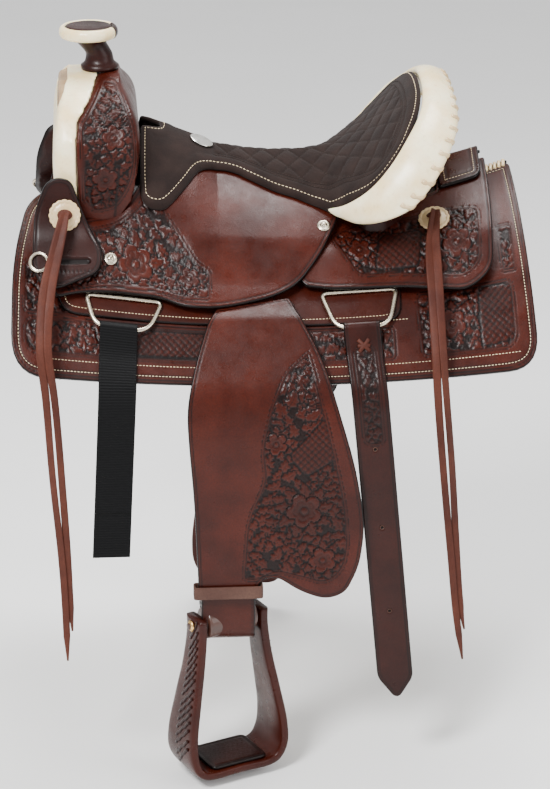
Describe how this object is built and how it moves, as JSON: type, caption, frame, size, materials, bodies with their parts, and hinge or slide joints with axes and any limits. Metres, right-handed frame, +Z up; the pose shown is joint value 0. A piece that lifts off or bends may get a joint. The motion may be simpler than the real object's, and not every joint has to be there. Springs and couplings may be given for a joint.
{
  "type": "western roping saddle",
  "caption": "Western stock saddle: tooled leather over a wooden tree, padded suede seat, rawhide horn rim and cantle roll, covered stirrups and hanging straps.",
  "frame": {"origin": "on the centre plane, on the horse's spine line at the middle of the saddle's length, where the underside of the fleece meets the horse", "axes": "+Z up, the horse's head towards -X and its tail towards +X, the near (left) side at -Y"},
  "size_m": [0.6717, 0.6266, 0.9435],
  "materials": {
    "tree_wood": "sealed timber under rawhide, hidden in use",
    "tooled_leather": "hand-tooled, antiqued and waxed, with burnished dark edges",
    "smooth_leather": "smooth skirting leather, waxed, edges burnished dark",
    "strap_leather": "oiled latigo and harness leather",
    "string_leather": "soft oiled string leather",
    "stirrup_leather_cover": "leather sewn over a bent wood stirrup",
    "suede": "padded suede, quilted, napped matt finish",
    "rawhide": "dried rawhide, cream, semi-gloss",
    "fleece": "wool fleece lining",
    "nylon": "black woven webbing",
    "nickel": "nickel plated, slightly worn",
    "silver": "polished",
    "roller_wood": "turned hardwood spool on a steel bolt"
  },
  "bodies": {
    "tree": {"fork": "tree_wood", "swell_cover": "tooled_leather", "fork_front_rawhide": "rawhide", "horn": "smooth_leather", "horn_cap": "smooth_leather", "horn_rim_rawhide": "rawhide", "cantle_board": "tree_wood", "ground_seat": "smooth_leather", "seat": "suede", "cantle_roll_rawhide": "rawhide", "tree_bar_near": "tree_wood", "tree_bar_far": "tree_wood", "fleece_near": "fleece", "skirt_near": "tooled_leather", "rigging_plate_near": "smooth_leather", "seat_jockey_near": "tooled_leather", "rear_jockey_near": "tooled_leather", "latigo_keeper_near": "smooth_leather", "rosette_front_near": "rawhide", "rosette_rear_near": "rawhide", "jockey_screw_front_near": "nickel", "jockey_screw_rear_near": "nickel", "string_front_near": "string_leather", "string_rear_near": "string_leather", "fleece_far": "fleece", "skirt_far": "tooled_leather", "rigging_plate_far": "smooth_leather", "seat_jockey_far": "tooled_leather", "rear_jockey_far": "tooled_leather", "latigo_keeper_far": "smooth_leather", "rosette_front_far": "rawhide", "rosette_rear_far": "rawhide", "jockey_screw_front_far": "nickel", "jockey_screw_rear_far": "nickel", "string_front_far": "string_leather", "string_rear_far": "string_leather", "rear_bridge": "smooth_leather", "seat_plate": "silver"},
    "near_front_dee": {"front_dee_near": "nickel"},
    "near_latigo": {"latigo_near": "nylon"},
    "near_rear_dee": {"rear_dee_near": "nickel"},
    "near_flank_billet": {"flank_billet_near": "strap_leather"},
    "near_leather_loop": {"stirrup_leather_loop_near": "smooth_leather"},
    "near_leg": {"stirrup_leather_near": "smooth_leather", "fender_near": "tooled_leather", "hobble_strap_near": "strap_leather"},
    "near_stirrup": {"stirrup_near": "stirrup_leather_cover", "stirrup_bolt_near": "roller_wood", "stirrup_tread_near": "strap_leather"},
    "far_front_dee": {"front_dee_far": "nickel"},
    "far_off_billet": {"off_billet_far": "strap_leather"},
    "far_rear_dee": {"rear_dee_far": "nickel"},
    "far_flank_billet": {"flank_billet_far": "strap_leather"},
    "far_leather_loop": {"stirrup_leather_loop_far": "smooth_leather"},
    "far_leg": {"stirrup_leather_far": "smooth_leather", "fender_far": "tooled_leather", "hobble_strap_far": "strap_leather"},
    "far_stirrup": {"stirrup_far": "stirrup_leather_cover", "stirrup_bolt_far": "roller_wood", "stirrup_tread_far": "strap_leather"}
  },
  "joints": [
    {"name": "near_leather_swing", "type": "hinge", "parent": "tree", "child": "near_leather_loop", "pos_m": [-0.0595, -0.07503, 0.02661], "axis": [0, 1, 0], "range_deg": [-6, 6]},
    {"name": "near_leg_lift", "type": "hinge", "parent": "near_leather_loop", "child": "near_leg", "pos_m": [-0.045, -0.19266, -0.06016], "axis": [-0.9726, -0.1901, -0.1334], "range_deg": [0, 45]},
    {"name": "near_stirrup_turn", "type": "hinge", "parent": "near_leg", "child": "near_stirrup", "pos_m": [-0.08, -0.2495, -0.47], "axis": [0.9063, 0.4226, 0], "range_deg": [-40, 40]},
    {"name": "near_front_dee_swing", "type": "hinge", "parent": "tree", "child": "near_front_dee", "pos_m": [-0.206, -0.18617, -0.04697], "axis": [-0.9901, 0, 0.1406], "range_deg": [0, 40]},
    {"name": "near_latigo_swing", "type": "hinge", "parent": "near_front_dee", "child": "near_latigo", "pos_m": [-0.2103, -0.21784, -0.07722], "axis": [-0.9901, 0, 0.1406], "range_deg": [0, 40]},
    {"name": "near_rear_dee_swing", "type": "hinge", "parent": "tree", "child": "near_rear_dee", "pos_m": [0.096, -0.17213, -0.04927], "axis": [-0.9987, 0, -0.0519], "range_deg": [0, 40]},
    {"name": "near_flank_billet_swing", "type": "hinge", "parent": "near_rear_dee", "child": "near_flank_billet", "pos_m": [0.09777, -0.21394, -0.0834], "axis": [-0.9987, 0, -0.0519], "range_deg": [0, 40]},
    {"name": "far_leather_swing", "type": "hinge", "parent": "tree", "child": "far_leather_loop", "pos_m": [-0.0296, 0.07503, 0.02661], "axis": [0, 1, 0], "range_deg": [-2, 7]},
    {"name": "far_leg_lift", "type": "hinge", "parent": "far_leather_loop", "child": "far_leg", "pos_m": [-0.03744, 0.19266, -0.05983], "axis": [0.9573, -0.1901, 0.2177], "range_deg": [0, 45]},
    {"name": "far_stirrup_turn", "type": "hinge", "parent": "far_leg", "child": "far_stirrup", "pos_m": [-0.04138, 0.2495, -0.41637], "axis": [0.9029, -0.4226, 0.079], "range_deg": [-40, 40]},
    {"name": "far_front_dee_swing", "type": "hinge", "parent": "tree", "child": "far_front_dee", "pos_m": [-0.206, 0.18617, -0.04697], "axis": [0.9901, 0, -0.1406], "range_deg": [0, 40]},
    {"name": "far_off_billet_swing", "type": "hinge", "parent": "far_front_dee", "child": "far_off_billet", "pos_m": [-0.2103, 0.21784, -0.07722], "axis": [0.9901, 0, -0.1406], "range_deg": [0, 40]},
    {"name": "far_rear_dee_swing", "type": "hinge", "parent": "tree", "child": "far_rear_dee", "pos_m": [0.096, 0.17213, -0.04927], "axis": [0.9987, 0, 0.0519], "range_deg": [0, 40]},
    {"name": "far_flank_billet_swing", "type": "hinge", "parent": "far_rear_dee", "child": "far_flank_billet", "pos_m": [0.09777, 0.21394, -0.0834], "axis": [0.9987, 0, 0.0519], "range_deg": [0, 40]}
  ]
}
